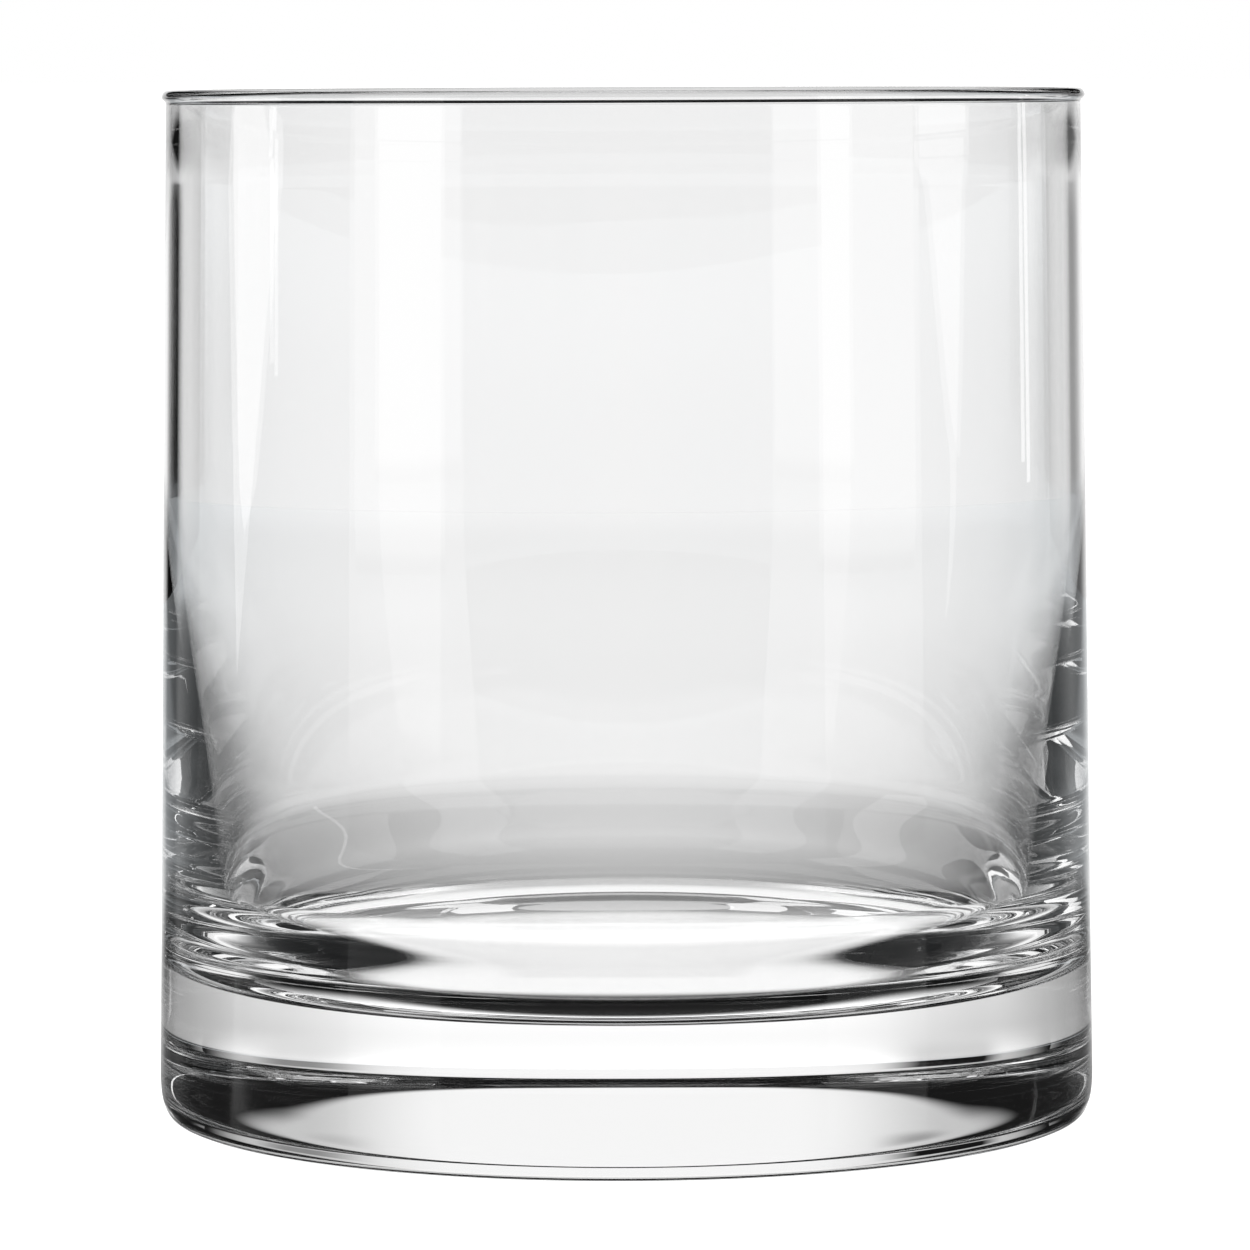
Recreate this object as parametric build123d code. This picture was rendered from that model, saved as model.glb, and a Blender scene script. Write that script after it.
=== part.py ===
"""Clear glass whiskey tumbler with a heavy base, as one revolved solid.

The real tumbler is a single piece of pressed and fire-polished glass, so it is one node. Its half
section runs from the axis under the foot, out over the bearing ring, round the heel, up the
outside wall, over the rim bead, down the inside wall, which thickens towards the base, round the
inside corner and in across the dished floor.
Millimetres, +Z up along the axis, origin in the middle of the plane that the foot rests on.
"""

from build123d import *

import os
from math import cos, hypot, radians, sin

# Outside
HEIGHT = 94.1  # foot plane to the top of the rim
BASE_RADIUS = 43.0  # outside wall just above the heel
NECK_RADIUS = 41.75  # outside wall just under the rim bead
HEEL_WIDTH = 2.25  # how far the heel's round runs in from the outside wall
HEEL_HEIGHT = 4.45  # how far it runs up
HEEL_SPREAD = 0.65  # fullness of the round at the foot, as a share of its width
HEEL_STAND = 0.935  # fullness of the round at the wall, as a share of its height

# Rim bead, the slightly swollen fire-polished edge
BEAD_RADIUS = 0.64  # round of the bead in section
BEAD_PROUD = 0.37  # how far the bead stands out of the outside wall
BEAD_BLEND = 0.6  # height over which the bead runs out into the wall

# Underside
RING_WIDTH = 2.2  # flat bearing ring that the tumbler stands on
RECESS_STEP = 0.38  # rounded step at the inner edge of the ring
RECESS_RISE = 0.4  # middle of the domed recess above the foot plane

# Inside wall
WALL_AT_NECK = 1.2  # glass thickness just under the rim bead
WALL_AT_SHOULDER = 1.27  # glass thickness where the inside wall starts to lean in
SHOULDER_HEIGHT = 59.4  # height of that place
CORNER_TOP_RADIUS = 38.1  # inside wall where the rounded corner starts
CORNER_TOP_HEIGHT = 22.2  # height of that place
CORNER_TOP_LEAN = 5.9  # lean of the inside wall there, in degrees from upright

# Inside corner and floor
CORNER_RADIUS = 35.45  # middle of the rounded corner
CORNER_HEIGHT = 16.3  # height of that place
CORNER_LEAN = 20.0  # lean of the glass there, in degrees from upright
FLOOR_EDGE_RADIUS = 26.75  # where the corner meets the dished floor
FLOOR_EDGE_HEIGHT = 12.2  # height of that place
FLOOR_SLOPE = 2.5  # rise of the floor at its edge, in degrees
FLOOR_HEIGHT = 12.0  # glass under the middle of the floor

# Fullness of every other curve: how long its handles are, as a share of its chord
PULL = 0.35
WALL_PULL = 0.4  # the same for the inside wall

UPRIGHT = (0, 1)
DOWN = (0, -1)
OUTWARD = (1, 0)
INWARD = (-1, 0)


def lean(angle):
    """A direction in the section plane, at an angle in degrees above +X."""
    return (cos(radians(angle)), sin(radians(angle)))


def curve(start, end, start_way, end_way, pull=PULL):
    """A cubic curve that leaves start along start_way and arrives at end along end_way."""
    handle = pull * hypot(end[0] - start[0], end[1] - start[1])
    near = handle / hypot(*start_way)
    far = handle / hypot(*end_way)
    near_handle = (start[0] + start_way[0] * near, start[1] + start_way[1] * near)
    far_handle = (end[0] - end_way[0] * far, end[1] - end_way[1] * far)
    return Bezier(start, near_handle, far_handle, end)


def heel(ring_out, heel_top, wall_up):
    """The round from the foot to the outside wall: tight at the foot, long and flat up the wall."""
    stand = HEEL_STAND * HEEL_HEIGHT / hypot(*wall_up)
    foot_handle = (ring_out[0] + HEEL_SPREAD * HEEL_WIDTH, ring_out[1])
    wall_handle = (heel_top[0] - wall_up[0] * stand, heel_top[1] - wall_up[1] * stand)
    return Bezier(ring_out, foot_handle, wall_handle, heel_top)


def half_section():
    """The closed half section of the glass, on the XZ plane."""
    ring_out = (BASE_RADIUS - HEEL_WIDTH, 0)
    heel_top = (BASE_RADIUS, HEEL_HEIGHT)
    ring_in = (ring_out[0] - RING_WIDTH, 0)
    recess_edge = (ring_in[0] - 2 * RECESS_STEP, RECESS_STEP)
    recess_middle = (0, RECESS_RISE)
    recess_fall = (recess_edge[0], -2 * (RECESS_RISE - RECESS_STEP))

    bead_middle_height = HEIGHT - BEAD_RADIUS
    bead_out = (NECK_RADIUS + BEAD_PROUD, bead_middle_height)
    bead_top = (bead_out[0] - BEAD_RADIUS, HEIGHT)
    bead_in = (bead_out[0] - 2 * BEAD_RADIUS, bead_middle_height)
    neck_height = bead_middle_height - BEAD_BLEND
    neck_out = (NECK_RADIUS, neck_height)
    neck_in = (NECK_RADIUS - WALL_AT_NECK, neck_height)

    wall_up = (NECK_RADIUS - BASE_RADIUS, neck_height - HEEL_HEIGHT)
    rise = (SHOULDER_HEIGHT - HEEL_HEIGHT) / wall_up[1]
    shoulder = (BASE_RADIUS + wall_up[0] * rise - WALL_AT_SHOULDER, SHOULDER_HEIGHT)
    wall_down = (shoulder[0] - neck_in[0], SHOULDER_HEIGHT - neck_height)
    corner_top = (CORNER_TOP_RADIUS, CORNER_TOP_HEIGHT)
    corner_top_way = lean(-90 - CORNER_TOP_LEAN)
    corner = (CORNER_RADIUS, CORNER_HEIGHT)
    corner_way = lean(-90 - CORNER_LEAN)
    floor_edge = (FLOOR_EDGE_RADIUS, FLOOR_EDGE_HEIGHT)
    floor_in = lean(180 + FLOOR_SLOPE)
    floor_middle = (0, FLOOR_HEIGHT)

    with BuildSketch(Plane.XZ) as section:
        with BuildLine():
            curve(recess_middle, recess_edge, OUTWARD, recess_fall)
            curve(recess_edge, ring_in, recess_fall, OUTWARD)
            Line(ring_in, ring_out)
            heel(ring_out, heel_top, wall_up)
            Line(heel_top, neck_out)
            curve(neck_out, bead_out, wall_up, UPRIGHT)
            RadiusArc(bead_out, bead_top, -BEAD_RADIUS)
            RadiusArc(bead_top, bead_in, -BEAD_RADIUS)
            curve(bead_in, neck_in, DOWN, wall_down)
            Line(neck_in, shoulder)
            curve(shoulder, corner_top, wall_down, corner_top_way, WALL_PULL)
            curve(corner_top, corner, corner_top_way, corner_way)
            curve(corner, floor_edge, corner_way, floor_in)
            curve(floor_edge, floor_middle, floor_in, INWARD)
            Line(floor_middle, recess_middle)
        make_face()
    return section.sketch


def tumbler():
    """The whole tumbler: its half section turned once round the axis."""
    return revolve(half_section(), axis=Axis.Z)


glass = tumbler()
os.makedirs("parts", exist_ok=True)
export_step(glass, "parts/tumbler.step")
print("glass volume in cubic millimetres:", round(glass.volume))
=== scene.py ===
"""Looks of the whiskey tumbler: one lathed piece of clear glass on a glossy white table.

Lengths of the glass and of the camera are in millimetres, and are turned into metres where they are
used. Lengths of the studio are in metres. The section of the glass is rebuilt from the same driving
dimensions as the CAD part, and its height comes from the frame.

Clear glass shows mostly what stands round it, so most of this file is the studio. Behind the glass
(+Y) stands a lit backdrop. To the sides and in front (-Y) the room is dark, but for four lit cards
and one light overhead. The table glows with painted light and shade, which the glass shows; the
camera sees the table plain white.
"""

from math import cos, hypot, pi, radians, sin

import bpy
from mathutils import Matrix, Vector


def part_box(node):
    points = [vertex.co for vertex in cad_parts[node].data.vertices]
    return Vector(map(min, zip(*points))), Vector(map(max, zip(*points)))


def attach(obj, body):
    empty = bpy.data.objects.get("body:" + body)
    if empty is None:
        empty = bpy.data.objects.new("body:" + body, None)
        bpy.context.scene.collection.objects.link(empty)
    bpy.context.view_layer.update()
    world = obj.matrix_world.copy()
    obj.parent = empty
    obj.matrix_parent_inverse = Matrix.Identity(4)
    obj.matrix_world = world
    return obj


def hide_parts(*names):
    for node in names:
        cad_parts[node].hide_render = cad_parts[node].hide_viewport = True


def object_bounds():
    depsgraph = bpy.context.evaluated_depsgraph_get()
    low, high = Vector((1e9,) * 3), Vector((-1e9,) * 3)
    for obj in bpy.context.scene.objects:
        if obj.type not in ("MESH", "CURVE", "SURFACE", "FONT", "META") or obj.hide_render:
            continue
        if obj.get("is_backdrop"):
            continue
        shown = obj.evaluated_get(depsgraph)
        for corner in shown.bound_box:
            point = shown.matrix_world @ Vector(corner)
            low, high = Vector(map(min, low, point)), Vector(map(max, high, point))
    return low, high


MM = 0.001

# Section of the glass, as in the CAD part: lengths in millimetres, leans and slopes in degrees, and the
# fullness of the curves as shares
BASE_RADIUS = 43.0  # outside wall just above the heel
NECK_RADIUS = 41.75  # outside wall just under the rim bead
HEEL_WIDTH = 2.25  # how far the heel's round runs in from the outside wall
HEEL_HEIGHT = 4.45  # how far it runs up
HEEL_SPREAD = 0.65  # fullness of the round at the foot, as a share of its width
HEEL_STAND = 0.935  # fullness of the round at the wall, as a share of its height
BEAD_RADIUS = 0.64  # round of the rim bead in section
BEAD_PROUD = 0.37  # how far the bead stands out of the outside wall
BEAD_BLEND = 0.6  # height over which the bead runs out into the wall
RING_WIDTH = 2.2  # flat bearing ring that the tumbler stands on
RECESS_STEP = 0.38  # rounded step at the inner edge of the ring
RECESS_RISE = 0.4  # middle of the domed recess above the foot plane
WALL_AT_NECK = 1.2  # glass thickness just under the rim bead
WALL_AT_SHOULDER = 1.27  # glass thickness where the inside wall starts to lean in
SHOULDER_HEIGHT = 59.4  # height of that place
CORNER_TOP_RADIUS = 38.1  # inside wall where the rounded corner starts
CORNER_TOP_HEIGHT = 22.2  # height of that place
CORNER_TOP_LEAN = 5.9  # lean of the inside wall there, from upright
CORNER_RADIUS = 35.45  # middle of the rounded corner
CORNER_HEIGHT = 16.3  # height of that place
CORNER_LEAN = 20.0  # lean of the glass there, from upright
FLOOR_EDGE_RADIUS = 26.75  # where the corner meets the dished floor
FLOOR_EDGE_HEIGHT = 12.2  # height of that place
FLOOR_SLOPE = 2.5  # rise of the floor at its edge
FLOOR_HEIGHT = 12.0  # glass under the middle of the floor
PULL = 0.35  # fullness of every other curve, as a share of its chord
WALL_PULL = 0.4  # the same for the inside wall

# Fineness of the lathed mesh, kept under the 200,000 triangles that the export allows a piece:
# segments round the axis, and steps along each part of the section
SEGMENTS = 512
DOME_STEPS = 12
RECESS_EDGE_STEPS = 8
RING_STEPS = 3
HEEL_STEPS = 32
OUTSIDE_STEPS = 12
BEAD_BLEND_STEPS = 8
BEAD_STEPS = 20
NECK_STEPS = 10
WALL_STEPS = 24
CORNER_TOP_STEPS = 14
CORNER_STEPS = 20
FLOOR_STEPS = 20

# The glass and its surface: the faint waves that fire polishing leaves, and a trace of haze. Both
# spacings and the height of the waves are in metres.
GLASS_IOR = 1.52
WAVE_SPACING = 0.03
WAVE_DETAIL = 1.0
WAVE_HEIGHT = 0.00002
HAZE_SPACING = 0.012
HAZE_DETAIL = 4.0
HAZE_RANGE = (0.45, 0.75)  # the part of the noise over which the haze sets in
HAZE_ROUGHNESS = 0.02

# Camera, in millimetres and degrees, but for the clipping distance in metres
CAMERA_DISTANCE = 628.3
CAMERA_HEIGHT = 96.7
AIM_HEIGHT = 44.9
LENS = 197.3
SENSOR = 36.0
CAMERA_ROLL = -0.2
CLIP_END = 100.0

# Bounces, enough for light to find its way out of the base
GLASS_BOUNCES = 32
GLOSS_BOUNCES = 16

# Colours
WHITE = (1.0, 1.0, 1.0, 1.0)
BLACK = (0.0, 0.0, 0.0, 1.0)
# cool tint of the table's painted light at its sides
COOL = (0.92, 0.97, 1.0, 1.0)

# From here on, light levels are shares of the backdrop's white, and a ramp is a smooth step: its
# start, its end, and the levels there where they aren't 0 and 1.

# Room: a little light from everywhere, and a pale horizon behind the glass, in radians from +Y and up
ROOM_LIGHT = 0.008
HORIZON_LIGHT = 0.59
HORIZON_AZIMUTH = (radians(48), radians(60))
HORIZON_ELEVATION = (radians(3.5), radians(4.8), 1.0, 0.0)

# Table: a glossy white square, whose glow is painted light and shade round the glass.
# It lies a hair under the foot, so that the two faces stay apart.
TABLE_HALF = 30.0
TABLE_DROP = -0.00002
TABLE_ROUGHNESS = 0.15
TABLE_IOR = 1.3
COOL_ASIDE = (0.03, 0.16)  # distance to either side over which its light turns cool
FOOT_EDGE = (0.0434, 0.0444)  # reach over which the table under the glass gives way to the rest
UNDER_MIDDLE = (-0.025, -0.018, 0.02, 1.15)  # under the middle of the glass, from front to back
UNDER_RING = (-0.013, 0.011, 0.0, 1.07)  # under its bearing ring, from front to back
UNDER_CHANGE = (0.026, 0.037)  # reach over which the one gives way to the other
NEAR_TABLE = (0.03, 0.085, 0.5, 0.74)  # rise of the light away from the glass
FAR_TABLE = (0.1, 0.5, 0.0, 0.24)  # fall of the light farther off
SHADE_ASIDE = 0.137  # middle of the oval shade at each side
SHADE_BACK = 0.0465  # how far behind the axis that middle is
SHADE_WIDTH = 0.078  # its half width and half length
SHADE_LENGTH = 0.1186
SHADE_EDGE = (0.6, 1.55)  # its soft edge, as shares of the oval, squared
LIT_FROM = (0.01, 0.042)  # distance behind the axis over which the light sets in
SIDE_LIGHT = 0.25
SIDE_CHANGE = (0.22, 0.27)  # distance to either side over which the table turns to SIDE_LIGHT
FRONT_CHANGE = (0.0, radians(88))  # azimuth over which it turns to FRONT_TABLE
FRONT_TABLE = (0.13, 0.25, 0.02, 0.32)
TABLE_FADE = (1.5, 6.0)  # reach over which it turns to HORIZON_LIGHT

# Backdrop: its light fills a low hill, and a dark flag stands low down at each side
BACKDROP_DISTANCE = 0.6
BACKDROP_HALF = 0.75
BACKDROP_TOP = 0.28
HILL = (0.007, 0.385, 0.226, 0.106)  # height of the hill, from its middle outwards
HILL_EDGE = (-0.016, 0.016, 1.0, 0.0)  # the soft edge along its top
HILL_LIGHT = (0.124, 0.322, 1.0, 0.62)  # its light, from the middle outwards
HILL_END = (0.45, 0.75, 1.0, 0.0)  # the fade towards the ends of the panel
FLAG_INNER = (0.2, 0.316)  # the soft inner, outer and top edges of the flags
FLAG_OUTER = (0.362, 0.478, 1.0, 0.0)
FLAG_TOP = (0.067, 0.087, 1.0, 0.0)
FLAG_DEPTH = (-0.05, 0.05, 1.45, 0.55)  # share of the light each flag takes, from left to right

# Overhead light, in front of the glass, with its power in watts
OVERHEAD_POWER = 0.25
OVERHEAD_WIDTH = 0.57
OVERHEAD_LENGTH = 0.28
OVERHEAD_PLACE = (0, -0.36, 0.5)

# Cards round the glass: their distance, the top of the soft boxes and where those fade out over the
# table, and for each card its azimuth in degrees, its width or its corners, and its light
CARD_DISTANCE = 0.34
SOFTBOX_TOP = 0.6
SOFTBOX_FOOT = (0.004, 0.018)
SOFTBOX_LEFT = (-125.1, 0.146, 0.95)
SOFTBOX_RIGHT = (120.0, 0.162, 1.0)
SLIVER_LEFT = (-80, [(0.03, 0.019), (0.06, 0.085), (0.06, 0.5), (-0.06, 0.5), (-0.06, 0.085)], 1.3)
SLIVER_RIGHT = (67, [(-0.005, 0.044), (0.005, 0.044), (0.005, 0.5), (-0.005, 0.5)], 2.0)


def lean(angle):
    """A direction in the section plane, at an angle in degrees above +X."""
    return (cos(radians(angle)), sin(radians(angle)))


def cubic(handles, steps):
    """Points of a cubic curve with four handles, up to, not including, the last."""
    points = []
    for step in range(steps):
        t = step / steps
        weights = ((1 - t) ** 3, 3 * t * (1 - t) ** 2, 3 * t * t * (1 - t), t**3)
        points.append(tuple(sum(w * h[i] for w, h in zip(weights, handles)) for i in (0, 1)))
    return points


def curve(start, end, start_way, end_way, steps, pull=PULL):
    """Points of a cubic curve that leaves start along start_way and arrives at end along end_way."""
    handle = pull * hypot(end[0] - start[0], end[1] - start[1])
    near = handle / hypot(*start_way)
    far = handle / hypot(*end_way)
    near_handle = (start[0] + start_way[0] * near, start[1] + start_way[1] * near)
    far_handle = (end[0] - end_way[0] * far, end[1] - end_way[1] * far)
    return cubic((start, near_handle, far_handle, end), steps)


def line(start, end, steps):
    """Evenly spaced points from start up to, not including, end."""
    return [
        tuple(start[i] + (end[i] - start[i]) * step / steps for i in (0, 1))
        for step in range(steps)
    ]


def arc(centre, radius, start, end, steps):
    """Points of an arc between two angles in degrees, not including the last."""
    angles = [radians(start + (end - start) * step / steps) for step in range(steps)]
    return [(centre[0] + radius * cos(a), centre[1] + radius * sin(a)) for a in angles]


def underside():
    """From the middle of the domed recess out over the bearing ring."""
    ring_out = (BASE_RADIUS - HEEL_WIDTH, 0.0)
    ring_in = (ring_out[0] - RING_WIDTH, 0.0)
    edge = (ring_in[0] - 2 * RECESS_STEP, RECESS_STEP)
    fall = (edge[0], -2 * (RECESS_RISE - RECESS_STEP))
    return (
        curve((0.0, RECESS_RISE), edge, (1, 0), fall, DOME_STEPS)
        + curve(edge, ring_in, fall, (1, 0), RECESS_EDGE_STEPS)
        + line(ring_in, ring_out, RING_STEPS)
    )


def outside(neck_height):
    """Round the heel and up the outside wall."""
    ring_out = (BASE_RADIUS - HEEL_WIDTH, 0.0)
    heel_top = (BASE_RADIUS, HEEL_HEIGHT)
    neck_out = (NECK_RADIUS, neck_height)
    wall_up = (neck_out[0] - heel_top[0], neck_out[1] - heel_top[1])
    stand = HEEL_STAND * HEEL_HEIGHT / hypot(*wall_up)
    foot_handle = (ring_out[0] + HEEL_SPREAD * HEEL_WIDTH, ring_out[1])
    wall_handle = (heel_top[0] - wall_up[0] * stand, heel_top[1] - wall_up[1] * stand)
    heel = cubic((ring_out, foot_handle, wall_handle, heel_top), HEEL_STEPS)
    return heel + line(heel_top, neck_out, OUTSIDE_STEPS)


def rim(neck_height, height):
    """From the outside wall over the fire-polished bead to the inside wall."""
    bead_middle = (NECK_RADIUS + BEAD_PROUD - BEAD_RADIUS, height - BEAD_RADIUS)
    bead_out = (bead_middle[0] + BEAD_RADIUS, bead_middle[1])
    bead_in = (bead_middle[0] - BEAD_RADIUS, bead_middle[1])
    neck_out = (NECK_RADIUS, neck_height)
    neck_in = (NECK_RADIUS - WALL_AT_NECK, neck_height)
    wall_up = (NECK_RADIUS - BASE_RADIUS, neck_height - HEEL_HEIGHT)
    wall_down = (wall_start(neck_height)[0] - neck_in[0], SHOULDER_HEIGHT - neck_height)
    return (
        curve(neck_out, bead_out, wall_up, (0, 1), BEAD_BLEND_STEPS)
        + arc(bead_middle, BEAD_RADIUS, 0, 180, BEAD_STEPS)
        + curve(bead_in, neck_in, (0, -1), wall_down, BEAD_BLEND_STEPS)
    )


def wall_start(neck_height):
    """The place on the inside wall where it starts to lean in."""
    rise = (SHOULDER_HEIGHT - HEEL_HEIGHT) / (neck_height - HEEL_HEIGHT)
    outer = BASE_RADIUS + (NECK_RADIUS - BASE_RADIUS) * rise
    return (outer - WALL_AT_SHOULDER, SHOULDER_HEIGHT)


def inside(neck_height):
    """Down the inside wall, round the corner and in across the dished floor."""
    neck_in = (NECK_RADIUS - WALL_AT_NECK, neck_height)
    shoulder = wall_start(neck_height)
    wall_down = (shoulder[0] - neck_in[0], shoulder[1] - neck_in[1])
    corner_top = (CORNER_TOP_RADIUS, CORNER_TOP_HEIGHT)
    corner_top_way = lean(-90 - CORNER_TOP_LEAN)
    corner = (CORNER_RADIUS, CORNER_HEIGHT)
    corner_way = lean(-90 - CORNER_LEAN)
    floor_edge = (FLOOR_EDGE_RADIUS, FLOOR_EDGE_HEIGHT)
    floor_way = lean(180 + FLOOR_SLOPE)
    floor_middle = (0.0, FLOOR_HEIGHT)
    return (
        line(neck_in, shoulder, NECK_STEPS)
        + curve(shoulder, corner_top, wall_down, corner_top_way, WALL_STEPS, pull=WALL_PULL)
        + curve(corner_top, corner, corner_top_way, corner_way, CORNER_TOP_STEPS)
        + curve(corner, floor_edge, corner_way, floor_way, CORNER_STEPS)
        + curve(floor_edge, floor_middle, floor_way, (-1, 0), FLOOR_STEPS)
        + [floor_middle]
    )


def half_section(height):
    """The whole section of the glass, from the middle of the recess round to the middle of the floor."""
    neck_height = height - BEAD_RADIUS - BEAD_BLEND
    return underside() + outside(neck_height) + rim(neck_height, height) + inside(neck_height)


def lathe(name, section):
    """A closed mesh turned round the axis from a section that starts and ends on the axis."""
    first, *rings, last = section
    verts = [(0, 0, first[1] * MM)]
    turns = [2 * pi * i / SEGMENTS for i in range(SEGMENTS)]
    for r, z in rings:
        verts += [(r * cos(a) * MM, r * sin(a) * MM, z * MM) for a in turns]
    verts.append((0, 0, last[1] * MM))
    top = len(verts) - 1
    last_ring = 1 + (len(rings) - 1) * SEGMENTS

    faces = []
    for i in range(SEGMENTS):
        j = (i + 1) % SEGMENTS
        faces.append((0, 1 + j, 1 + i))
        for k in range(len(rings) - 1):
            low = 1 + k * SEGMENTS
            high = low + SEGMENTS
            faces.append((low + i, low + j, high + j, high + i))
        faces.append((last_ring + i, last_ring + j, top))

    mesh = bpy.data.meshes.new(name)
    mesh.from_pydata(verts, [], faces)
    mesh.shade_smooth()
    piece = bpy.data.objects.new(name, mesh)
    bpy.context.collection.objects.link(piece)
    return piece


def put(tree, kind, **settings):
    """A new shader node with its settings."""
    node = tree.nodes.new(kind)
    for key, value in settings.items():
        setattr(node, key, value)
    return node


def feed(tree, socket, value):
    """Gives a socket a number, or links it to another socket."""
    if isinstance(value, (int, float)):
        socket.default_value = value
    else:
        tree.links.new(value, socket)


def maths(tree, operation, *values):
    """The output of a Math node fed by sockets or numbers."""
    node = put(tree, "ShaderNodeMath", operation=operation)
    for socket, value in zip(node.inputs, values):
        feed(tree, socket, value)
    return node.outputs[0]


def ramp(tree, value, start, end, low=0.0, high=1.0):
    """A smooth step of value from low at start to high at end."""
    node = put(tree, "ShaderNodeMapRange", interpolation_type="SMOOTHSTEP")
    for name, number in zip(("From Min", "From Max", "To Min", "To Max"), (start, end, low, high)):
        node.inputs[name].default_value = number
    tree.links.new(value, node.inputs["Value"])
    return node.outputs[0]


def blend(tree, share, a, b):
    """A number that goes from a to b as share goes from 0 to 1."""
    node = put(tree, "ShaderNodeMix")
    tree.links.new(share, node.inputs["Factor"])
    feed(tree, node.inputs["A"], a)
    feed(tree, node.inputs["B"], b)
    return node.outputs["Result"]


def waves(tree, spacing, detail):
    """Soft noise over the object, with the given size of its cells in metres."""
    noise = put(tree, "ShaderNodeTexNoise")
    noise.inputs["Scale"].default_value = 1 / spacing
    noise.inputs["Detail"].default_value = detail
    tree.links.new(put(tree, "ShaderNodeTexCoord").outputs["Object"], noise.inputs["Vector"])
    return noise.outputs["Fac"]


def glass_material():
    """Clear colourless glass: fire-polished, so faintly wavy, with a trace of haze from handling."""
    material = bpy.data.materials.new("clear_glass_polished")
    material.use_nodes = True
    tree = material.node_tree
    shader = tree.nodes["Principled BSDF"]
    shader.inputs["Base Color"].default_value = WHITE
    shader.inputs["IOR"].default_value = GLASS_IOR
    shader.inputs["Transmission Weight"].default_value = 1.0
    haze = ramp(tree, waves(tree, HAZE_SPACING, HAZE_DETAIL), *HAZE_RANGE, 0.0, HAZE_ROUGHNESS)
    tree.links.new(haze, shader.inputs["Roughness"])
    bump = put(tree, "ShaderNodeBump")
    bump.inputs["Distance"].default_value = WAVE_HEIGHT
    tree.links.new(waves(tree, WAVE_SPACING, WAVE_DETAIL), bump.inputs["Height"])
    tree.links.new(bump.outputs["Normal"], shader.inputs["Normal"])
    return material


def place(tree):
    """The x, y and z of the lit point, in metres."""
    split = put(tree, "ShaderNodeSeparateXYZ")
    tree.links.new(put(tree, "ShaderNodeNewGeometry").outputs["Position"], split.inputs[0])
    return split.outputs["X"], split.outputs["Y"], split.outputs["Z"]


def seen_by_camera(tree):
    """One for rays straight from the camera, which see plain white, and zero for all others."""
    return put(tree, "ShaderNodeLightPath").outputs["Is Camera Ray"]


def tint(tree, colour, share):
    """Colours a light through its colour socket: plain white where share is 0, cool where it is 1."""
    node = put(tree, "ShaderNodeMix", data_type="RGBA")
    tree.links.new(share, node.inputs["Factor"])
    node.inputs["A"].default_value = WHITE
    node.inputs["B"].default_value = COOL
    tree.links.new(node.outputs["Result"], colour)


def studio_world():
    """The room: dark, with a pale horizon behind the glass where the table ends."""
    world = bpy.data.worlds.new("studio")
    world.use_nodes = True
    bpy.context.scene.world = world
    tree = world.node_tree
    back = tree.nodes["Background"]
    split = put(tree, "ShaderNodeSeparateXYZ")
    tree.links.new(put(tree, "ShaderNodeTexCoord").outputs["Generated"], split.inputs[0])
    azimuth = maths(tree, "ABSOLUTE", maths(tree, "ARCTAN2", split.outputs["X"], split.outputs["Y"]))
    elevation = maths(tree, "ARCSINE", split.outputs["Z"])
    pale = ramp(tree, azimuth, *HORIZON_AZIMUTH, HORIZON_LIGHT, ROOM_LIGHT)
    low_down = ramp(tree, elevation, *HORIZON_ELEVATION)
    level = maths(tree, "MAXIMUM", maths(tree, "MULTIPLY", pale, low_down), ROOM_LIGHT)
    tree.links.new(maths(tree, "MAXIMUM", level, seen_by_camera(tree)), back.inputs["Strength"])
    back.inputs["Color"].default_value = WHITE


def oval(tree, aside, back):
    """One on the edge of the oval shade, less inside it and more outside."""
    across = maths(tree, "DIVIDE", maths(tree, "SUBTRACT", aside, SHADE_ASIDE), SHADE_WIDTH)
    along = maths(tree, "DIVIDE", maths(tree, "SUBTRACT", back, SHADE_BACK), SHADE_LENGTH)
    across = maths(tree, "MULTIPLY", across, across)
    along = maths(tree, "MULTIPLY", along, along)
    return maths(tree, "ADD", across, along)


def under_glass(tree, y, reach):
    """How bright the table is under the glass: lit towards the back, dark towards the front."""
    middle = ramp(tree, y, *UNDER_MIDDLE)
    ring = ramp(tree, y, *UNDER_RING)
    return blend(tree, ramp(tree, reach, *UNDER_CHANGE), middle, ring)


def table_light(tree):
    """How bright the table is: lit behind the glass, shaded at its sides, dim in front."""
    x, y, _ = place(tree)
    aside = maths(tree, "ABSOLUTE", x)
    squares = maths(tree, "ADD", maths(tree, "MULTIPLY", x, x), maths(tree, "MULTIPLY", y, y))
    reach = maths(tree, "SQRT", squares)
    azimuth = maths(tree, "ABSOLUTE", maths(tree, "ARCTAN2", x, y))

    # painted shade: darker near the glass, with an oval of painted shade at each side, lit from behind
    out = maths(tree, "SUBTRACT", ramp(tree, reach, *NEAR_TABLE), ramp(tree, reach, *FAR_TABLE))
    out = maths(tree, "MULTIPLY", out, ramp(tree, oval(tree, aside, y), *SHADE_EDGE))
    out = maths(tree, "MULTIPLY", out, ramp(tree, y, *LIT_FROM))
    out = blend(tree, ramp(tree, aside, *SIDE_CHANGE), out, SIDE_LIGHT)
    out = blend(tree, ramp(tree, azimuth, *FRONT_CHANGE), out, ramp(tree, reach, *FRONT_TABLE))
    out = blend(tree, ramp(tree, reach, *TABLE_FADE), out, HORIZON_LIGHT)
    return blend(tree, ramp(tree, reach, *FOOT_EDGE), under_glass(tree, y, reach), out)


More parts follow.
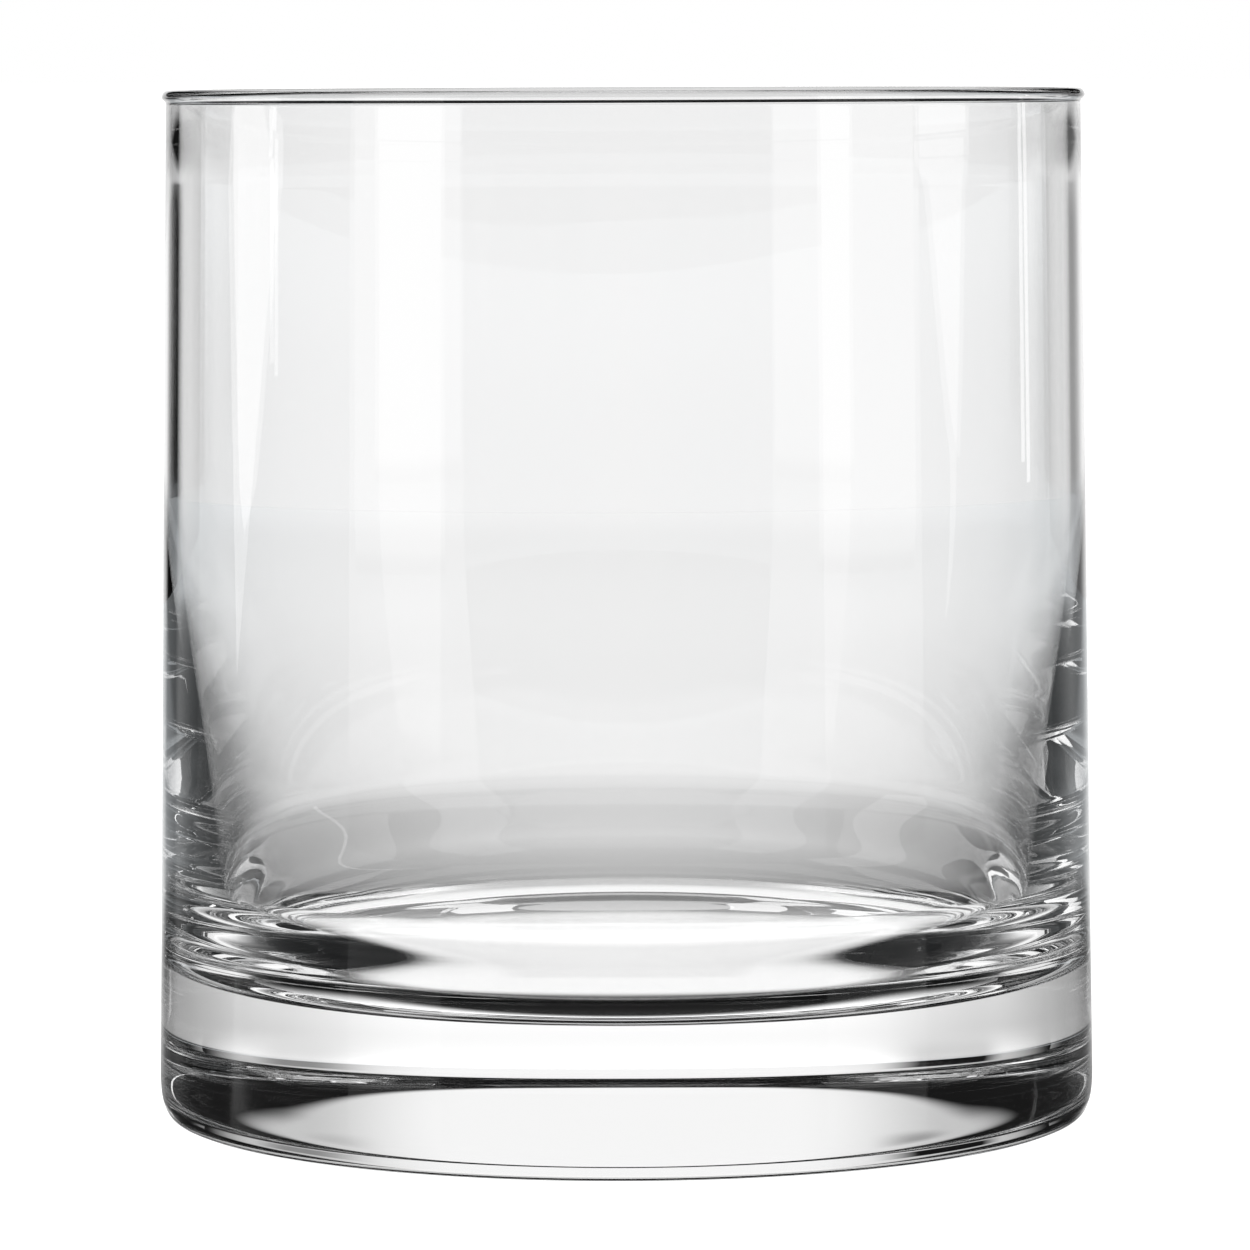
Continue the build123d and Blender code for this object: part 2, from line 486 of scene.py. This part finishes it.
def table_material():
    """Glossy white: a black base with a glow, which stands in for the light that falls on a table."""
    material = bpy.data.materials.new("floor_painted_light_and_shade")
    material.use_nodes = True
    tree = material.node_tree
    gloss = tree.nodes["Principled BSDF"]
    gloss.inputs["Base Color"].default_value = BLACK
    gloss.inputs["Roughness"].default_value = TABLE_ROUGHNESS
    gloss.inputs["IOR"].default_value = TABLE_IOR
    # the table's glow is painted light and shade; the camera sees it plain white
    level = maths(tree, "MAXIMUM", table_light(tree), seen_by_camera(tree))
    tree.links.new(level, gloss.inputs["Emission Strength"])
    x, _, _ = place(tree)
    cool = ramp(tree, maths(tree, "ABSOLUTE", x), *COOL_ASIDE)
    unseen = maths(tree, "SUBTRACT", 1.0, seen_by_camera(tree))
    tint(tree, gloss.inputs["Emission Color"], maths(tree, "MULTIPLY", cool, unseen))
    return material


def studio_floor():
    """The table top that the glass stands on."""
    mesh = bpy.data.meshes.new("floor")
    half = TABLE_HALF
    flat = [(-half, -half), (half, -half), (half, half), (-half, half)]
    mesh.from_pydata([(x, y, TABLE_DROP) for x, y in flat], [], [(0, 1, 2, 3)])
    mesh.materials.append(table_material())
    floor = bpy.data.objects.new("floor", mesh)
    bpy.context.collection.objects.link(floor)
    floor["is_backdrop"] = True


def glowing(mesh, name):
    """Gives a mesh a glowing white material, and returns its node tree and its Emission node."""
    material = bpy.data.materials.new(name)
    material.use_nodes = True
    tree = material.node_tree
    tree.nodes.clear()
    out = put(tree, "ShaderNodeOutputMaterial")
    glow = put(tree, "ShaderNodeEmission")
    glow.inputs["Color"].default_value = WHITE
    tree.links.new(glow.outputs[0], out.inputs["Surface"])
    mesh.materials.append(material)
    return tree, glow


def card(name, corners, azimuth, distance):
    """An upright card that faces the glass. Azimuth 0 is behind the glass; corners are in the card."""
    mesh = bpy.data.meshes.new(name)
    mesh.from_pydata([(across, 0, up) for across, up in corners], [], [tuple(range(len(corners)))])
    piece = bpy.data.objects.new(name, mesh)
    bpy.context.collection.objects.link(piece)
    angle = radians(azimuth)
    piece.location = (distance * sin(angle), distance * cos(angle), 0)
    piece.rotation_euler = (0, 0, -angle)
    piece.visible_camera = False
    piece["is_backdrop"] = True
    return glowing(mesh, name)


def upright(half, top):
    """The corners of a card that stands on the table."""
    return [(-half, 0), (half, 0), (half, top), (-half, top)]


def backdrop():
    """The lit panel behind the glass: a low hill of light with a dark flag low down at each side."""
    corners = upright(BACKDROP_HALF, BACKDROP_TOP)
    tree, glow = card("backdrop", corners, 0, BACKDROP_DISTANCE)
    x, _, z = place(tree)
    out = maths(tree, "ABSOLUTE", x)
    hill = ramp(tree, out, *HILL)
    below = ramp(tree, maths(tree, "SUBTRACT", z, hill), *HILL_EDGE)
    bright = maths(tree, "MULTIPLY", ramp(tree, out, *HILL_LIGHT), below)
    bright = maths(tree, "MULTIPLY", bright, ramp(tree, out, *HILL_END))
    flag = maths(tree, "MULTIPLY", ramp(tree, out, *FLAG_INNER), ramp(tree, out, *FLAG_OUTER))
    flag = maths(tree, "MULTIPLY", flag, ramp(tree, z, *FLAG_TOP))
    taken = maths(tree, "MULTIPLY", flag, ramp(tree, x, *FLAG_DEPTH))
    kept = maths(tree, "SUBTRACT", 1.0, taken)
    level = maths(tree, "MAXIMUM", maths(tree, "MULTIPLY", bright, kept), ROOM_LIGHT)
    tree.links.new(level, glow.inputs["Strength"])


def overhead():
    """A soft light above the table, in front of the glass."""
    data = bpy.data.lights.new("overhead", "AREA")
    data.shape = "RECTANGLE"
    data.size = OVERHEAD_WIDTH
    data.size_y = OVERHEAD_LENGTH
    data.energy = OVERHEAD_POWER
    lamp = bpy.data.objects.new("overhead", data)
    bpy.context.collection.objects.link(lamp)
    lamp.location = OVERHEAD_PLACE
    lamp.visible_camera = False


def softbox(name, azimuth, width, strength):
    """A tall strip light in front of the glass, at one side, fading out at the table."""
    tree, glow = card(name, upright(width / 2, SOFTBOX_TOP), azimuth, CARD_DISTANCE)
    _, _, z = place(tree)
    tree.links.new(ramp(tree, z, *SOFTBOX_FOOT, 0.0, strength), glow.inputs["Strength"])


def sliver(name, azimuth, corners, strength):
    """A lit card beside the glass, which the wall shows as an upright highlight."""
    _, glow = card(name, corners, azimuth, CARD_DISTANCE)
    glow.inputs["Strength"].default_value = strength


def camera():
    """A long lens a little above the rim, tilted down to the middle of the glass."""
    data = bpy.data.cameras.new("camera")
    data.lens = LENS
    data.sensor_width = SENSOR
    data.clip_end = CLIP_END
    eye = bpy.data.objects.new("camera", data)
    bpy.context.collection.objects.link(eye)
    eye.location = (0, -CAMERA_DISTANCE * MM, CAMERA_HEIGHT * MM)
    way = Vector((0, CAMERA_DISTANCE, AIM_HEIGHT - CAMERA_HEIGHT))
    turn = way.to_track_quat("-Z", "Y").to_matrix().to_4x4()
    eye.rotation_euler = (turn @ Matrix.Rotation(radians(CAMERA_ROLL), 4, "Z")).to_euler()
    bpy.context.scene.camera = eye


def colours():
    """Plain display colours, so that the white of the studio stays white."""
    bpy.context.scene.view_settings.view_transform = "Standard"


def bounces():
    """Enough bounces for clear glass."""
    cycles = bpy.context.scene.cycles
    cycles.max_bounces = GLASS_BOUNCES
    cycles.transmission_bounces = GLASS_BOUNCES
    cycles.glossy_bounces = GLOSS_BOUNCES


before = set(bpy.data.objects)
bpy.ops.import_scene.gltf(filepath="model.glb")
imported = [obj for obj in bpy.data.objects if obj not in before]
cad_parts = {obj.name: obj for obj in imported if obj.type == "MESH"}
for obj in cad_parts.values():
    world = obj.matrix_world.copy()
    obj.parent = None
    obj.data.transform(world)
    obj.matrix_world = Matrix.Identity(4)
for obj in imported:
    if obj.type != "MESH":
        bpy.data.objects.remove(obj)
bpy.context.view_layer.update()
_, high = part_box("tumbler")

glass = lathe("glass_body", half_section(high[2] / MM))
glass.data.materials.append(glass_material())
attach(glass, "root")
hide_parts("tumbler")

studio_world()
studio_floor()
backdrop()
overhead()
softbox("softbox_left", *SOFTBOX_LEFT)
softbox("softbox_right", *SOFTBOX_RIGHT)
sliver("sliver_left", *SLIVER_LEFT)
sliver("sliver_right", *SLIVER_RIGHT)
camera()
colours()
bounces()

low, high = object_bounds()
